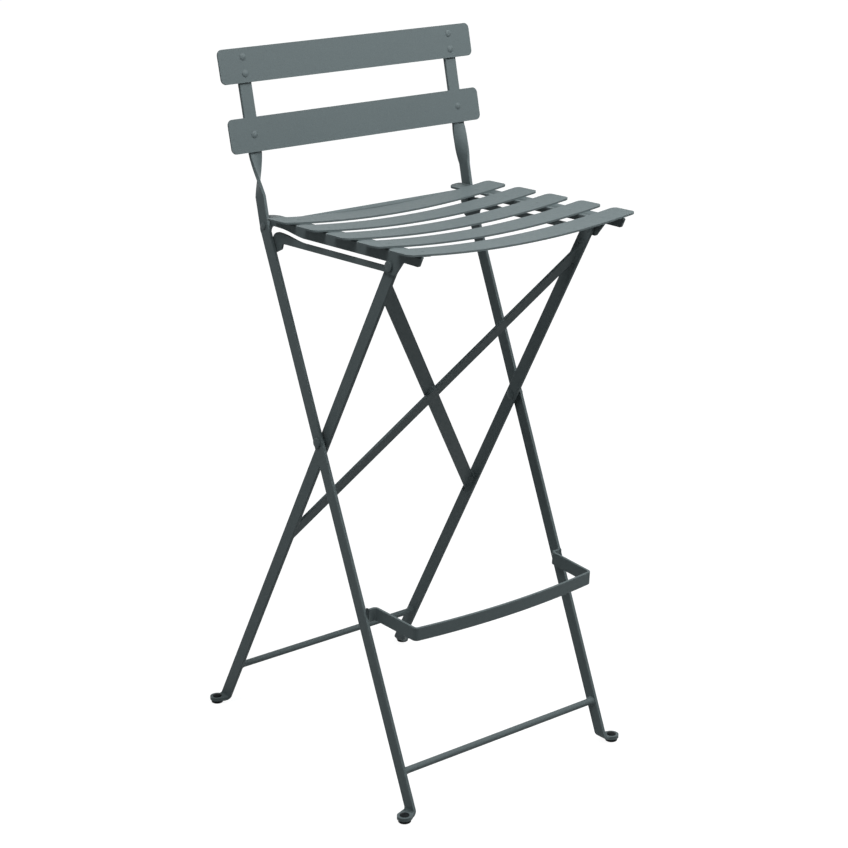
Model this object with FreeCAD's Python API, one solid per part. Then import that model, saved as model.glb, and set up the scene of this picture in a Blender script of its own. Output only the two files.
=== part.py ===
import FreeCAD, Part
import math
import os

# A folding bar stool of flat steel bar, in millimetres.
# +Z is up, +X points to the right seen from the front, +Y to the back.
# The origin lies on the floor, in the middle of the stool's width and depth.
# Until they are exported, pieces are placed with Y counted from the main pivot.

V = FreeCAD.Vector

# Flat bar and rod stock
BAR_WIDTH = 20.0
BAR_THICK = 5.0
BAR_EDGE_R = 0.9
ROD_DIA = 10.0

# The two crossing frames, side view
PIVOT_HEIGHT = 503.0
SEAT_PIVOT_Y = 116.8
SEAT_PIVOT_RISE = 286.3
PIN_START_Y = -155.9
PIN_START_RISE = 281.7
BACK_LEAN_RATIO = 0.4108
BACKREST_SLOPE = 0.2254
BACKREST_OFFSET_Y = 52.3

# Widths across the stool
BACK_OUTER_X = 187.0
FRAME_GAP = 6.0

# Where the post turns its wide face to the front
TWIST_LENGTH = 57.0
TWIST_GAP = 3.0
TWIST_STEPS = 8
REST_BAR_INSET = 2.0

# Feet
TAB_BEND_INNER_R = 3.5
FOOT_PAD_HEIGHT = 5.0
FRONT_FOOT_REACH = 15.9
REAR_FOOT_REACH = 12.4
TAB_END_R = 11.0
PLUG_DOME_R = 6.8
PLUG_DOME_HEIGHT = 3.0
PLUG_STEM_R = 3.5
PLUG_PAD_R = 9.2
PLUG_EDGE_R = 1.2

# Cross rods, as distances down the bars from the main pivot
FRONT_ROD_DOWN = 478.0
REAR_ROD_DOWN = 492.0

# Footrest, heights from the main pivot
FOOTREST_TOP_DROP = 221.5
FOOTREST_HEIGHT = 20.0
FOOTREST_THICK = 4.0
FOOTREST_REAR_X = 169.5
FOOTREST_FRONT_X = 166.0
FOOTREST_FRONT_Y = -191.0
FOOTREST_BOW = 11.5
FOOTREST_CORNER_R = 5.0
FOOTREST_PITCH = 3.0

# Diagonal braces between the crossing legs
BRACE_WIDTH = 20.0
BRACE_THICK = 4.5
BRACE_CROSS_UP = 46.0
BRACE_SLOPE = 1.38

# Seat
SLAT_COUNT = 5
SLAT_WIDTH = 45.0
SLAT_THICK = 2.5
SLAT_HALF_LENGTH = 201.5
SLAT_CORNER_R = 8.0
SLAT_PITCH = 67.4
REAR_SLAT_Y = 70.0
SEAT_TOP_RISE = 292.35
SEAT_RISE_TO_FRONT = 0.0246
SEAT_DISH = 12.5

# Backrest
BACK_SLAT_WIDTH = 47.4
BACK_SLAT_HALF_LENGTH = 222.5
BACK_SLAT_CORNER_R = 8.0
UPPER_SLAT_RISE = 501.7
BACK_SLAT_PITCH = 91.9
POST_TOP_MARGIN = 18.3
BACK_RIVET_SPACING = 22.0

# Seat side plates
PLATE_THICK = 3.0
PLATE_WASHER_THICK = 1.4
PLATE_FRONT_Y = -222.5
SLOT_HEIGHT = 6.6
SLOT_WAVE = 2.4
SLOT_VALLEY_Y = 31.5
SLOT_PLATEAU_Y = 85.0
SLOT_POCKET_REAR_Y = 111.5
SLOT_POCKET_WIDTH = 5.5
SLOT_OUTER_R = 10.5
SLOT_INNER_R = 16.0
STRAP_HEIGHT = 8.4
STRAP_FRONT_INSET = 8.4
STRAP_STEP_INSET = 4.4
LUG_R = 10.7
LUG_CORNER_R = 5.0
LUG_LEAN = 0.84
PLATE_FRONT_DEPTH = 17.4
NOSE_INSET = 6.2
NOSE_CORNER_R = 4.0
NOSE_RISE = 12.5
THROAT_R = 6.0
HOOK_Y = 82.0
HOOK_STRAP_DROP = 15.0
HOOK_DROP = 8.8
HOOK_SET_BACK = 3.4
HOOK_CORNER_R = 4.0
LOBE_SLOPE = 0.48
LOBE_CORNER_Y = 117.1
LOBE_R = 14.0
PLATE_REAR_R = 12.0
PLATE_BEND_R = 3.5
FLANGE_INNER_X = 155.5
FLANGE_SET_BACK = 0.5
EAR_END_Y = 130.0
EAR_TIP_R = 11.0
SEAT_RIVET_X = 160.0
TIE_ROD_Y = 101.0
TIE_ROD_HALF_LENGTH = 166.0

# Rivets and pins
RIVET_SHANK_R = 4.0
RIVET_HEAD_R = 7.0
RIVET_HEAD_HEIGHT = 2.4
SEAT_RIVET_SHANK_R = 3.0
SEAT_RIVET_HEAD_R = 4.4
SEAT_RIVET_HEAD_HEIGHT = 1.6
BACK_RIVET_SHANK_R = 2.5
BACK_RIVET_HEAD_R = 5.0
BACK_RIVET_HEAD_HEIGHT = 1.6
SLAT_RIVET_SHANK_R = 2.0
SLAT_RIVET_HEAD_R = 3.4
SLAT_RIVET_HEAD_HEIGHT = 0.5
PIN_NECK_R = 0.75
PIN_HEAD_R = 7.0
PIN_HEAD_HEIGHT = 1.2
PIN_END_Y = 83.5
PIN_END_RISE = 282.3
PIN_TAIL_R = 6.0
PIN_SHANK_R = 3.5

# Running clearances
AXIAL_PLAY = 0.1
RADIAL_PLAY = 0.08
WELD_R = 1.6

# Derived places across the stool
back_inner_x = BACK_OUTER_X - BAR_THICK
cross_outer_x = back_inner_x - FRAME_GAP
cross_inner_x = cross_outer_x - BAR_THICK
back_mid_x = BACK_OUTER_X - BAR_THICK / 2
cross_mid_x = cross_outer_x - BAR_THICK / 2
rest_bar_x = back_mid_x - REST_BAR_INSET
plate_outer_x = back_inner_x - PLATE_WASHER_THICK - AXIAL_PLAY
plate_inner_x = plate_outer_x - PLATE_THICK

# Derived lines and angles in the side view
tab_top_z = FOOT_PAD_HEIGHT + BAR_THICK
leg_end_z = tab_top_z + TAB_BEND_INNER_R
cross_lean_ratio = -PIN_START_Y / PIN_START_RISE
back_lean = math.atan(BACK_LEAN_RATIO)
cross_lean = math.atan(cross_lean_ratio)
rest_lean = math.atan(BACKREST_SLOPE)
bend_rise = BACKREST_OFFSET_Y / (BACK_LEAN_RATIO - BACKREST_SLOPE)
lower_slat_rise = UPPER_SLAT_RISE - BACK_SLAT_PITCH
post_top_rise = UPPER_SLAT_RISE + POST_TOP_MARGIN
twist_end_rise = lower_slat_rise - BACK_SLAT_WIDTH / 2 - TWIST_GAP
twist_start_rise = twist_end_rise - TWIST_LENGTH
seat_tilt = math.atan(SEAT_RISE_TO_FRONT)
dish_radius = (SLAT_HALF_LENGTH ** 2 + SEAT_DISH ** 2) / (2 * SEAT_DISH)


def dish(x):
    """Rise of the seat's circular dish at x."""
    return dish_radius - math.sqrt(dish_radius ** 2 - x ** 2)


def seat_top(x, y):
    """Height of the dished seat surface above the main pivot."""
    return SEAT_TOP_RISE - SEAT_RISE_TO_FRONT * (y - REAR_SLAT_Y) + dish(x)


def point(x, y, rise):
    """A point given by its height above the main pivot."""
    return V(x, y, PIVOT_HEIGHT + rise)


def back_point(x, rise):
    """A point on the centre line of the back frame's lower bar."""
    return point(x, BACK_LEAN_RATIO * rise, rise)


def cross_point(x, rise):
    """A point on the centre line of a crossing leg."""
    return point(x, -cross_lean_ratio * rise, rise)


def rest_point(x, rise):
    """A point on the centre line of the post's upper bar."""
    return point(x, BACKREST_OFFSET_Y + BACKREST_SLOPE * rise, rise)


def wire_of(points):
    return Part.makePolygon(points + [points[0]])


def arc(first, middle, last):
    return Part.Arc(first, middle, last).toShape()


def cylinder(radius, start, end):
    along = end - start
    return Part.makeCylinder(radius, along.Length, start, along)


def bar_section(centre, wide, thin, width=BAR_WIDTH, thick=BAR_THICK, radius=BAR_EDGE_R):
    """Rounded bar outline about a centre; wide and thin are its directions."""
    w = wide.normalize()
    t = thin.normalize()
    half_w = width / 2
    half_t = thick / 2
    bulge = radius * (1 - math.sqrt(0.5))
    edges = []
    corners = [(1, 1), (-1, 1), (-1, -1), (1, -1)]
    joins = []
    for sw, st in corners:
        on_wide = centre + w * (sw * (half_w - radius)) + t * (st * half_t)
        on_thin = centre + w * (sw * half_w) + t * (st * (half_t - radius))
        middle = centre + w * (sw * (half_w - bulge)) + t * (st * (half_t - bulge))
        if sw * st > 0:
            joins.append((on_thin, middle, on_wide))
        else:
            joins.append((on_wide, middle, on_thin))
    for index, (first, middle, last) in enumerate(joins):
        edges.append(Part.Arc(first, middle, last).toShape())
        following = joins[(index + 1) % 4][0]
        edges.append(Part.makeLine(last, following))
    return Part.Wire(edges)


def straight_bar(start, end, wide, thin, width=BAR_WIDTH, thick=BAR_THICK):
    """A straight length of bar between two points, cut square."""
    section = bar_section(start, V(wide), V(thin), width, thick)
    return Part.Face(section).extrude(end - start)


def loft(sections):
    return Part.makeLoft(sections, True, False)


def fuse_all(shapes):
    joined = shapes[0].multiFuse(shapes[1:])
    return joined.removeSplitter()


def mirror_x(shape):
    return shape.mirror(V(0, 0, 0), V(1, 0, 0))


def leg_down(lean_ratio, down_sign, mid_x, top_rise):
    """Straight leg down to the foot bend, cut level at its end."""
    lower = leg_end_z - PIVOT_HEIGHT
    over = BAR_WIDTH
    start = point(mid_x, down_sign * lean_ratio * top_rise, top_rise)
    low_rise = lower - over
    end = point(mid_x, down_sign * lean_ratio * low_rise, low_rise)
    along = (end - start).normalize()
    wide = along.cross(V(1, 0, 0))
    bar = straight_bar(start, end, wide, V(1, 0, 0))
    below = Part.makeBox(200, 2000, 400, V(mid_x - 100, -1000, leg_end_z - 400))
    return bar.cut(below)


def foot_hole(lean_ratio, down_sign, mid_x, reach):
    """Centre of the plug's hole in a foot tab, on the tab's underside."""
    drift = -down_sign * lean_ratio
    start_y = down_sign * lean_ratio * (leg_end_z - PIVOT_HEIGHT)
    bend_x = mid_x + BAR_THICK / 2 + TAB_BEND_INNER_R
    bend_length = (TAB_BEND_INNER_R + BAR_THICK / 2) * math.pi / 2
    hole_y = start_y + drift * (bend_length + mid_x + reach - bend_x)
    return V(mid_x + reach, hole_y, FOOT_PAD_HEIGHT)


def foot(lean_ratio, down_sign, mid_x, reach):
    """Bent tab under a leg: the bar turns outward and lies level."""
    drift = -down_sign * lean_ratio
    level_width = BAR_WIDTH / math.cos(math.atan(lean_ratio))
    start_y = down_sign * lean_ratio * (leg_end_z - PIVOT_HEIGHT)
    bend_x = mid_x + BAR_THICK / 2 + TAB_BEND_INNER_R
    mid_r = TAB_BEND_INNER_R + BAR_THICK / 2
    sections = []
    for step in range(6):
        turn = math.radians(90.0 * step / 5)
        across = V(-math.cos(turn), 0, -math.sin(turn))
        centre = V(bend_x, start_y + drift * mid_r * turn, leg_end_z) + across * mid_r
        sections.append(bar_section(centre, V(0, 1, 0), V(across), level_width))
    bend = loft(sections)
    hole = foot_hole(lean_ratio, down_sign, mid_x, reach)
    near = V(bend_x, start_y + drift * mid_r * math.pi / 2, FOOT_PAD_HEIGHT)
    side = V(drift, -1, 0).normalize() * TAB_END_R
    half = V(0, level_width / 2, 0)
    outline = wire_of([near + half, hole - side, hole + side, near - half])
    flat = Part.Face(outline).extrude(V(0, 0, BAR_THICK))
    disc = Part.makeCylinder(TAB_END_R, BAR_THICK, hole)
    tab = fuse_all([flat, disc])
    return [bend, tab.cut(Part.makeCylinder(PLUG_STEM_R, BAR_THICK, hole))]


def depth_middle():
    """Distance from the main pivot back to the middle of the stool's depth."""
    hole = foot_hole(cross_lean_ratio, -1, cross_mid_x, REAR_FOOT_REACH)
    return (PLATE_FRONT_Y + hole.y + TAB_END_R) / 2


def foot_plug(hole):
    """Glide pressed through the tab, with a domed top and a pad on the floor."""
    x0 = hole.x
    y0 = hole.y
    top = tab_top_z
    pad = Part.makeCylinder(PLUG_PAD_R, FOOT_PAD_HEIGHT, V(x0, y0, 0))
    low_edges = [e for e in pad.Edges if len(e.Vertexes) == 1]
    pad = pad.makeFillet(PLUG_EDGE_R, low_edges)
    stem = Part.makeCylinder(PLUG_STEM_R, BAR_THICK, V(x0, y0, FOOT_PAD_HEIGHT))
    dome = dome_cap(V(x0, y0, top), V(0, 0, 1), PLUG_DOME_R, PLUG_DOME_HEIGHT)
    return fuse_all([pad, stem, dome])


def dome_cap(base, axis, radius, height):
    """Low domed head that stands on its flat base."""
    rim = height * 0.25
    crown = height - rim
    big = (radius * radius + crown * crown) / (2 * crown)
    low = V(0, 0, 0)
    points = [low, V(radius, 0, 0), V(radius, 0, rim)]
    angle = math.asin(radius / big) / 2
    middle = V(big * math.sin(angle), 0, rim + crown - big * (1 - math.cos(angle)))
    peak = V(0, 0, height)
    edges = [
        Part.makeLine(points[0], points[1]),
        Part.makeLine(points[1], points[2]),
        Part.Arc(points[2], middle, peak).toShape(),
        Part.makeLine(peak, points[0]),
    ]
    cap = Part.Face(Part.Wire(edges)).revolve(V(0, 0, 0), V(0, 0, 1), 360)
    turn = FreeCAD.Rotation(V(0, 0, 1), V(axis))
    cap.Placement = FreeCAD.Placement(base, turn)
    return cap


def rivet(head_at, axis, shank_r, grip, head_r, head_height, tail_r=None):
    """Rivet: head outside head_at, shank of length grip, and a tail head."""
    out = V(axis).normalize()
    tail_r = tail_r or head_r
    inner = head_at - out * grip
    pieces = [
        dome_cap(head_at, out, head_r, head_height),
        cylinder(shank_r, head_at, inner),
        dome_cap(inner, out * -1, tail_r, head_height),
    ]
    return fuse_all(pieces)


def bore(radius, centre, x_low, x_high):
    return Part.makeCylinder(radius, x_high - x_low, V(x_low, centre.y, centre.z), V(1, 0, 0))


def post():
    """Right back-frame bar: leg, seat bend, quarter twist and upper bar."""
    leg = leg_down(BACK_LEAN_RATIO, 1, back_mid_x, bend_rise)
    foot_pieces = foot(BACK_LEAN_RATIO, 1, back_mid_x, FRONT_FOOT_REACH)
    across = V(1, 0, 0)
    low_wide = V(0, math.cos(back_lean), -math.sin(back_lean))
    up_wide = V(0, math.cos(rest_lean), -math.sin(rest_lean))
    bend = rest_point(back_mid_x, bend_rise)
    elbow = Part.makeCylinder(BAR_WIDTH / 2, BAR_THICK, V(back_inner_x, bend.y, bend.z), across)
    twist_low = rest_point(back_mid_x, twist_start_rise)
    middle = straight_bar(bend, twist_low, up_wide, across)
    sections = []
    for step in range(TWIST_STEPS + 1):
        share = step / TWIST_STEPS
        turn = math.radians(90.0) * share
        centre = rest_point(back_mid_x - REST_BAR_INSET * share, twist_start_rise + TWIST_LENGTH * share)
        wide = up_wide * math.cos(turn) - across * math.sin(turn)
        thin = across * math.cos(turn) + up_wide * math.sin(turn)
        sections.append(bar_section(centre, wide, thin))
    twist = loft(sections)
    top_low = rest_point(rest_bar_x, twist_end_rise)
    top_high = rest_point(rest_bar_x, post_top_rise)
    top = straight_bar(top_low, top_high, across, up_wide)
    solid = fuse_all([leg, elbow, middle, twist, top] + foot_pieces)
    low_x = back_inner_x - 1
    high_x = BACK_OUTER_X + 1
    solid = solid.cut(bore(RIVET_SHANK_R, point(0, 0, 0), low_x, high_x))
    seat_pivot = point(0, SEAT_PIVOT_Y, SEAT_PIVOT_RISE)
    solid = solid.cut(bore(SEAT_RIVET_SHANK_R, seat_pivot, low_x, high_x))
    return solid.cut(Part.makeCompound(back_rivet_shanks()))


def rest_front(x, rise):
    """A point on the backrest slats' front face."""
    depth = (SLAT_THICK + BAR_THICK / 2) / math.cos(rest_lean)
    return rest_point(x, rise) - V(0, depth, 0)


def rest_normal():
    return V(0, -math.cos(rest_lean), math.sin(rest_lean))


def back_rivet_places():
    """Front centres of the right-hand backrest rivets."""
    half = BACK_RIVET_SPACING / 2
    rises = [UPPER_SLAT_RISE + half, UPPER_SLAT_RISE - half, lower_slat_rise]
    return [rest_front(rest_bar_x, rise) for rise in rises]


def back_rivet_shanks():
    grip = SLAT_THICK + BAR_THICK
    shanks = []
    for place in back_rivet_places():
        shanks.append(cylinder(BACK_RIVET_SHANK_R, place, place - rest_normal() * grip))
    return shanks


def backrest_slat(rise):
    """Flat slat with rounded corners, across the front of the posts."""
    up = V(0, math.sin(rest_lean), math.cos(rest_lean))
    plate = Part.makeBox(2 * BACK_SLAT_HALF_LENGTH, SLAT_THICK, BACK_SLAT_WIDTH)
    ends = [e for e in plate.Edges if e.BoundBox.YLength > 0.9 * SLAT_THICK]
    plate = plate.makeFillet(BACK_SLAT_CORNER_R, ends)
    plate.translate(V(-BACK_SLAT_HALF_LENGTH, 0, -BACK_SLAT_WIDTH / 2))
    turn = FreeCAD.Rotation(V(1, 0, 0), -math.degrees(rest_lean))
    front = rest_front(0, rise)
    plate.Placement = FreeCAD.Placement(front, turn).multiply(plate.Placement)
    shanks = back_rivet_shanks()
    holes = shanks + [mirror_x(s) for s in shanks]
    return plate.cut(Part.makeCompound(holes))


def crossing_leg():
    """Right crossing leg with its foot, main bore and slot-pin end."""
    top = cross_point(cross_mid_x, PIN_START_RISE)
    leg = leg_down(cross_lean_ratio, -1, cross_mid_x, PIN_START_RISE)
    end = Part.makeCylinder(BAR_WIDTH / 2, BAR_THICK, V(cross_inner_x, top.y, top.z), V(1, 0, 0))
    foot_pieces = foot(cross_lean_ratio, -1, cross_mid_x, REAR_FOOT_REACH)
    solid = fuse_all([leg, end] + foot_pieces)
    low_x = cross_inner_x - 1
    high_x = cross_outer_x + 1
    solid = solid.cut(bore(RIVET_SHANK_R + RADIAL_PLAY, point(0, 0, 0), low_x, high_x))
    return solid.cut(bore(PIN_SHANK_R, top, low_x, high_x))


def main_rivet():
    """Main pivot: head outside the post, tail head inside the crossing leg."""
    head_at = point(BACK_OUTER_X, 0, 0)
    grip = BACK_OUTER_X - cross_inner_x + AXIAL_PLAY
    return rivet(head_at, V(1, 0, 0), RIVET_SHANK_R, grip, RIVET_HEAD_R, RIVET_HEAD_HEIGHT)


def main_spacer():
    """Thick washer that keeps the crossing leg off the post."""
    start = point(cross_outer_x + AXIAL_PLAY, 0, 0)
    end = point(back_inner_x, 0, 0)
    ring = cylinder(RIVET_HEAD_R + 1, start, end)
    return ring.cut(cylinder(RIVET_SHANK_R, start, end))


def seat_rivet():
    """Seat pivot: through the post, the washer and the side plate."""
    head_at = point(BACK_OUTER_X, SEAT_PIVOT_Y, SEAT_PIVOT_RISE)
    grip = BACK_OUTER_X - plate_inner_x + AXIAL_PLAY
    return rivet(
        head_at, V(1, 0, 0), SEAT_RIVET_SHANK_R, grip,
        SEAT_RIVET_HEAD_R, SEAT_RIVET_HEAD_HEIGHT, SEAT_RIVET_HEAD_R + 1,
    )


def seat_washer():
    start = point(plate_outer_x + AXIAL_PLAY, SEAT_PIVOT_Y, SEAT_PIVOT_RISE)
    end = point(back_inner_x, SEAT_PIVOT_Y, SEAT_PIVOT_RISE)
    ring = cylinder(SEAT_RIVET_HEAD_R + 2, start, end)
    return ring.cut(cylinder(SEAT_RIVET_SHANK_R, start, end))


def weld_ring(centre, axis):
    """Small fillet weld around the end of a rod."""
    out = V(axis).normalize()
    rod_r = ROD_DIA / 2
    wide = centre
    narrow = centre - out * WELD_R
    cone = Part.makeCone(rod_r + WELD_R, rod_r, WELD_R, wide, narrow - wide)
    return cone


def cross_rod(centre, half_length):
    """Round rod between two bars, with a small weld at each end."""
    left = V(-half_length, centre.y, centre.z)
    right = V(half_length, centre.y, centre.z)
    rod = cylinder(ROD_DIA / 2, left, right)
    welds = [weld_ring(right, V(1, 0, 0)), weld_ring(left, V(-1, 0, 0))]
    return fuse_all([rod] + welds)


def front_rod():
    rise = -FRONT_ROD_DOWN * math.cos(back_lean)
    return cross_rod(back_point(0, rise), back_inner_x)


def rear_rod():
    rise = -REAR_ROD_DOWN * math.cos(cross_lean)
    return cross_rod(cross_point(0, rise), cross_inner_x)


def round_corner(before, corner, after, radius):
    """Start, middle and end of the arc that rounds a corner between two runs."""
    back = (before - corner).normalize()
    on = (after - corner).normalize()
    half = back.getAngle(on) / 2
    reach = radius / math.tan(half)
    inward = (back + on).normalize()
    middle = corner + inward * (radius / math.sin(half) - radius)
    return corner + back * reach, middle, corner + on * reach


def footrest_path():
    """Middle line of the footrest strap, from the right post to the left one."""
    half_t = FOOTREST_THICK / 2
    mid_rise = -FOOTREST_TOP_DROP - FOOTREST_HEIGHT / 2
    rear_y = BACK_LEAN_RATIO * mid_rise - BAR_WIDTH / 2 / math.cos(back_lean) + half_t
    front_x = FOOTREST_FRONT_X - half_t
    front_y = FOOTREST_FRONT_Y + half_t
    radius = FOOTREST_CORNER_R
    tip = V(back_inner_x, rear_y, 0)
    rear = V(FOOTREST_REAR_X - half_t, rear_y, 0)
    front = V(front_x, front_y, 0)
    bow_r = (front_x ** 2 + FOOTREST_BOW ** 2) / (2 * FOOTREST_BOW)
    bow_centre = V(0, front_y - FOOTREST_BOW + bow_r, 0)
    along = (front - rear).normalize()
    out = V(-along.y, along.x, 0)
    line_start = rear - out * radius - bow_centre
    ahead = line_start.dot(along)
    short = (bow_r - radius) ** 2 - line_start.dot(line_start)
    travel = -ahead + math.sqrt(ahead ** 2 + short)
    corner_centre = bow_centre + line_start + along * travel
    arm_end = corner_centre + out * radius
    from_bow = (corner_centre - bow_centre).normalize()
    bow_start = bow_centre + from_bow * bow_r
    corner_mid = corner_centre + (out + from_bow).normalize() * radius
    first, middle, last = round_corner(tip, rear, front, radius)
    right = [
        Part.makeLine(tip, first),
        arc(first, middle, last),
        Part.makeLine(last, arm_end),
        arc(arm_end, corner_mid, bow_start),
    ]
    left = [mirror_x(edge) for edge in reversed(right)]
    nose = V(0, front_y - FOOTREST_BOW, 0)
    bow = arc(bow_start, nose, V(-bow_start.x, bow_start.y, 0))
    return tip, Part.Wire(right + [bow] + left)


def footrest():
    """Strap on edge, bowed forward, with arms that turn out to the posts."""
    tip, path = footrest_path()
    section = bar_section(V(tip), V(0, 0, 1), V(0, 1, 0), FOOTREST_HEIGHT, FOOTREST_THICK)
    sweep = Part.BRepOffsetAPI.MakePipeShell(path)
    sweep.add(section)
    sweep.build()
    sweep.makeSolid()
    solid = sweep.shape()
    mid_rise = -FOOTREST_TOP_DROP - FOOTREST_HEIGHT / 2
    solid.translate(V(0, 0, PIVOT_HEIGHT + mid_rise))
    middle_y = (tip.y + FOOTREST_FRONT_Y) / 2
    solid.rotate(point(0, middle_y, mid_rise), V(1, 0, 0), FOOTREST_PITCH)
    return solid


def brace(direction, depth):
    """One diagonal strap; direction is +1 when it rises to the right."""
    up = V(0, -math.sin(cross_lean), math.cos(cross_lean))
    out = V(0, math.cos(cross_lean), math.sin(cross_lean))
    centre = point(0, 0, 0) + up * BRACE_CROSS_UP + out * depth
    along = V(1, 0, 0) + up * (direction * BRACE_SLOPE)
    reach = along * (cross_inner_x + BRACE_WIDTH)
    wide = V(along).normalize().cross(out)
    bar = straight_bar(centre - reach, centre + reach, wide, out, BRACE_WIDTH, BRACE_THICK)
    keep = Part.makeBox(2 * cross_inner_x, 2000, 2000, V(-cross_inner_x, -1000, 0))
    return bar.common(keep)


def slot_line(y):
    """Height of the pin's straight path at y."""
    slope = (PIN_END_RISE - PIN_START_RISE) / (PIN_END_Y - PIN_START_Y)
    return PIN_START_RISE + slope * (y - PIN_START_Y)


def slot_rise(y):
    """Height of the slot's centre line at y."""
    if y <= SLOT_VALLEY_Y:
        share = (y - PIN_START_Y) / (SLOT_VALLEY_Y - PIN_START_Y)
        return slot_line(y) + SLOT_WAVE * (1 - 2 * share)
    share = min(1.0, (y - SLOT_VALLEY_Y) / (SLOT_PLATEAU_Y - SLOT_VALLEY_Y))
    return slot_line(y) - SLOT_WAVE * math.cos(math.pi * share)


def curve(points):
    spline = Part.BSplineCurve()
    spline.interpolate(points)
    return spline.toShape()


def slot_edge(offset, x):
    """One long edge of the slot: straight, then a rise to the plateau."""
    front = point(x, PIN_START_Y, slot_rise(PIN_START_Y) + offset)
    valley = point(x, SLOT_VALLEY_Y - 6, slot_rise(SLOT_VALLEY_Y - 6) + offset)
    ramp = [valley]
    for step in range(1, 5):
        y = SLOT_VALLEY_Y + (SLOT_PLATEAU_Y - SLOT_VALLEY_Y) * step / 4
        ramp.append(point(x, y, slot_rise(y) + offset))
    return [Part.makeLine(front, valley), curve(ramp)]


def slot_face(x):
    """Slot outline: long wavy slot with a pocket that drops at its rear."""
    half = SLOT_HEIGHT / 2
    upper = slot_edge(half, x)
    lower = slot_edge(-half, x)
    front_y = PIN_START_Y
    front_rise = slot_rise(front_y)
    nose = Part.Arc(
        point(x, front_y, front_rise - half),
        point(x, front_y - half, front_rise),
        point(x, front_y, front_rise + half),
    ).toShape()
    plateau = slot_rise(SLOT_PLATEAU_Y)
    top = plateau + half
    bottom = plateau - half
    rear_y = SLOT_POCKET_REAR_Y
    near_y = rear_y - SLOT_POCKET_WIDTH
    corner_y = rear_y - SLOT_OUTER_R
    low_y = near_y - SLOT_INNER_R
    pocket_rise = bottom - SLOT_INNER_R
    end_r = SLOT_POCKET_WIDTH / 2
    diag = math.sqrt(0.5)
    outer_mid = point(x, corner_y + SLOT_OUTER_R * diag, top - SLOT_OUTER_R * (1 - diag))
    inner_mid = point(x, low_y + SLOT_INNER_R * diag, bottom - SLOT_INNER_R * (1 - diag))
    upper_end = point(x, SLOT_PLATEAU_Y, top)
    lower_end = point(x, SLOT_PLATEAU_Y, bottom)
    outer_start = point(x, corner_y, top)
    outer_end = point(x, rear_y, top - SLOT_OUTER_R)
    pocket_rear = point(x, rear_y, pocket_rise)
    pocket_near = point(x, near_y, pocket_rise)
    edges = [nose] + upper
    edges.append(Part.makeLine(upper_end, outer_start))
    edges.append(arc(outer_start, outer_mid, outer_end))
    edges.append(Part.makeLine(outer_end, pocket_rear))
    edges.append(arc(pocket_rear, point(x, rear_y - end_r, pocket_rise - end_r), pocket_near))
    edges.append(arc(pocket_near, inner_mid, point(x, low_y, bottom)))
    edges.append(Part.makeLine(point(x, low_y, bottom), lower_end))
    edges += lower
    return Part.Face(Part.Wire(Part.__sortEdges__(edges)))


def rounded_face(x, corners):
    """Face at x from corners, each a distance back, a rise and a radius."""
    places = [point(x, y, rise) for y, rise, radius in corners]
    count = len(corners)
    runs = []
    for index, (y, rise, radius) in enumerate(corners):
        here = places[index]
        if radius == 0:
            runs.append([here])
        else:
            after = places[(index + 1) % count]
            runs.append(round_corner(places[index - 1], here, after, radius))
    edges = []
    for index, run in enumerate(runs):
        if len(run) == 3:
            edges.append(arc(run[0], run[1], run[2]))
        edges.append(Part.makeLine(run[-1], runs[(index + 1) % count][0]))
    return Part.Face(Part.Wire(edges))


def plate_outline(x):
    """Side plate: web under the slats, strap under the slot, rear lobe."""
    spare = 5.0
    front_top = seat_top(x, PLATE_FRONT_Y)
    belly_rise = front_top - PLATE_FRONT_DEPTH
    rear_y = SEAT_PIVOT_Y + PLATE_REAR_R
    rear_top = SEAT_PIVOT_RISE + PLATE_REAR_R
    lug_y = PIN_START_Y - LUG_R
    lug_rise = PIN_START_RISE - LUG_R
    throat_y = lug_y - LUG_LEAN * (belly_rise - lug_rise)
    strap_rise = slot_rise(PIN_START_Y) - SLOT_HEIGHT / 2 - STRAP_HEIGHT
    hook_rise = PIN_START_RISE - HOOK_STRAP_DROP
    hook_low = hook_rise - HOOK_DROP
    hook_y = HOOK_Y + HOOK_SET_BACK
    lobe_rise = hook_low - LOBE_SLOPE * (LOBE_CORNER_Y - hook_y)
    return rounded_face(x, [
        (PLATE_FRONT_Y, front_top + spare, 0),
        (SEAT_PIVOT_Y - STRAP_STEP_INSET, front_top + spare, 0),
        (SEAT_PIVOT_Y - STRAP_STEP_INSET, rear_top, 0),
        (rear_y, rear_top, PLATE_REAR_R),
        (rear_y, SEAT_PIVOT_RISE - 2, PLATE_REAR_R / 2),
        (LOBE_CORNER_Y, lobe_rise, LOBE_R),
        (hook_y, hook_low, HOOK_CORNER_R),
        (HOOK_Y, hook_rise, HOOK_CORNER_R / 2),
        (PIN_START_Y + STRAP_FRONT_INSET, strap_rise, HOOK_CORNER_R),
        (PIN_START_Y + STRAP_STEP_INSET, lug_rise, HOOK_CORNER_R),
        (lug_y, lug_rise, LUG_CORNER_R),
        (throat_y, belly_rise, THROAT_R),
        (PLATE_FRONT_Y + NOSE_INSET, belly_rise, NOSE_CORNER_R),
        (PLATE_FRONT_Y, belly_rise + NOSE_RISE, 0),
    ])


def on_seat(shape):
    """Move a shape from the seat's own level frame onto the tilted seat."""
    turn = FreeCAD.Rotation(V(1, 0, 0), -math.degrees(seat_tilt))
    place = FreeCAD.Placement(point(0, REAR_SLAT_Y, SEAT_TOP_RISE), turn)
    moved = shape.copy()
    moved.Placement = place.multiply(moved.Placement)
    return moved


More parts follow.
